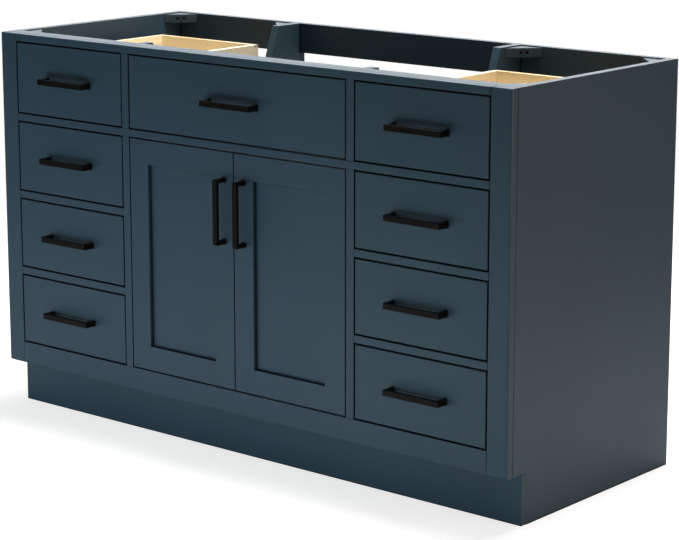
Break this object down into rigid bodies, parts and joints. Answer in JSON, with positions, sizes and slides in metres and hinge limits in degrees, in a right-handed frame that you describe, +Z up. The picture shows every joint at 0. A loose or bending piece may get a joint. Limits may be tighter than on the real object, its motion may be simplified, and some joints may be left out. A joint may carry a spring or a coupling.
{
  "type": "bathroom vanity cabinet",
  "caption": "Free-standing vanity base with drawers both sides, two inset shaker doors and a tilt-out front over them; open top and back for a worktop and basin.",
  "frame": {"origin": "on the floor, at the middle of the box that holds the cabinet and its pulls", "axes": "+X along the front, to the right of someone facing it; +Y from the room towards the wall; +Z up"},
  "size_m": [1.3716, 0.5868, 0.8382],
  "materials": {
    "case_paint": "satin paint",
    "drawer_wood": "clear lacquer",
    "batten_wood": "bare",
    "pull_black": "matt",
    "runner_steel": "zinc plated",
    "hinge_steel": "nickel plated",
    "zinc_screws": "zinc plated",
    "tray_plastic": "gloss"
  },
  "bodies": {
    "case": {"side_panel_left": "case_paint", "side_panel_right": "case_paint", "partition_left": "case_paint", "partition_right": "case_paint", "deck_panel": "case_paint", "back_rail": "case_paint", "toe_board": "case_paint", "front_stretcher": "case_paint", "corner_blocks": "case_paint", "case_screws": "zinc_screws", "stiles": "case_paint", "frame_rails": "case_paint", "drawer_rails": "case_paint", "mullions": "case_paint", "runner_channels": "runner_steel", "runner_battens": "batten_wood", "hinge_arms": "hinge_steel", "tilt_pivots": "hinge_steel"},
    "drawer_left_1": {"drawer_front_left_1": "case_paint", "drawer_box_left_1": "drawer_wood", "drawer_pull_left_1": "pull_black", "drawer_runners_left_1": "runner_steel"},
    "drawer_left_2": {"drawer_front_left_2": "case_paint", "drawer_box_left_2": "drawer_wood", "drawer_pull_left_2": "pull_black", "drawer_runners_left_2": "runner_steel"},
    "drawer_left_3": {"drawer_front_left_3": "case_paint", "drawer_box_left_3": "drawer_wood", "drawer_pull_left_3": "pull_black", "drawer_runners_left_3": "runner_steel"},
    "drawer_left_4": {"drawer_front_left_4": "case_paint", "drawer_box_left_4": "drawer_wood", "drawer_pull_left_4": "pull_black", "drawer_runners_left_4": "runner_steel"},
    "drawer_right_1": {"drawer_front_right_1": "case_paint", "drawer_box_right_1": "drawer_wood", "drawer_pull_right_1": "pull_black", "drawer_runners_right_1": "runner_steel"},
    "drawer_right_2": {"drawer_front_right_2": "case_paint", "drawer_box_right_2": "drawer_wood", "drawer_pull_right_2": "pull_black", "drawer_runners_right_2": "runner_steel"},
    "drawer_right_3": {"drawer_front_right_3": "case_paint", "drawer_box_right_3": "drawer_wood", "drawer_pull_right_3": "pull_black", "drawer_runners_right_3": "runner_steel"},
    "drawer_right_4": {"drawer_front_right_4": "case_paint", "drawer_box_right_4": "drawer_wood", "drawer_pull_right_4": "pull_black", "drawer_runners_right_4": "runner_steel"},
    "door_left": {"door_leaf_left": "case_paint", "door_pull_left": "pull_black", "door_hinge_cups_left": "hinge_steel"},
    "door_right": {"door_leaf_right": "case_paint", "door_pull_right": "pull_black", "door_hinge_cups_right": "hinge_steel"},
    "tilt_out": {"tilt_front": "case_paint", "tilt_pull": "pull_black", "tilt_stays": "hinge_steel", "tilt_tray": "tray_plastic"}
  },
  "joints": [
    {"name": "drawer_left_1_slide", "type": "slide", "parent": "case", "child": "drawer_left_1", "axis": [0, -1, 0], "range_m": [0, 0.305]},
    {"name": "drawer_left_2_slide", "type": "slide", "parent": "case", "child": "drawer_left_2", "axis": [0, -1, 0], "range_m": [0, 0.305]},
    {"name": "drawer_left_3_slide", "type": "slide", "parent": "case", "child": "drawer_left_3", "axis": [0, -1, 0], "range_m": [0, 0.305]},
    {"name": "drawer_left_4_slide", "type": "slide", "parent": "case", "child": "drawer_left_4", "axis": [0, -1, 0], "range_m": [0, 0.305]},
    {"name": "drawer_right_1_slide", "type": "slide", "parent": "case", "child": "drawer_right_1", "axis": [0, -1, 0], "range_m": [0, 0.305]},
    {"name": "drawer_right_2_slide", "type": "slide", "parent": "case", "child": "drawer_right_2", "axis": [0, -1, 0], "range_m": [0, 0.305]},
    {"name": "drawer_right_3_slide", "type": "slide", "parent": "case", "child": "drawer_right_3", "axis": [0, -1, 0], "range_m": [0, 0.305]},
    {"name": "drawer_right_4_slide", "type": "slide", "parent": "case", "child": "drawer_right_4", "axis": [0, -1, 0], "range_m": [0, 0.305]},
    {"name": "door_left_hinge", "type": "hinge", "parent": "case", "child": "door_left", "pos_m": [-0.2866, -0.2654, 0.3996], "axis": [0, 0, -1], "range_deg": [0, 90]},
    {"name": "door_right_hinge", "type": "hinge", "parent": "case", "child": "door_right", "pos_m": [0.2866, -0.2654, 0.3996], "axis": [0, 0, 1], "range_deg": [0, 90]},
    {"name": "tilt_out_hinge", "type": "hinge", "parent": "case", "child": "tilt_out", "pos_m": [0, -0.2604, 0.6722], "axis": [1, 0, 0], "range_deg": [0, 40]}
  ]
}
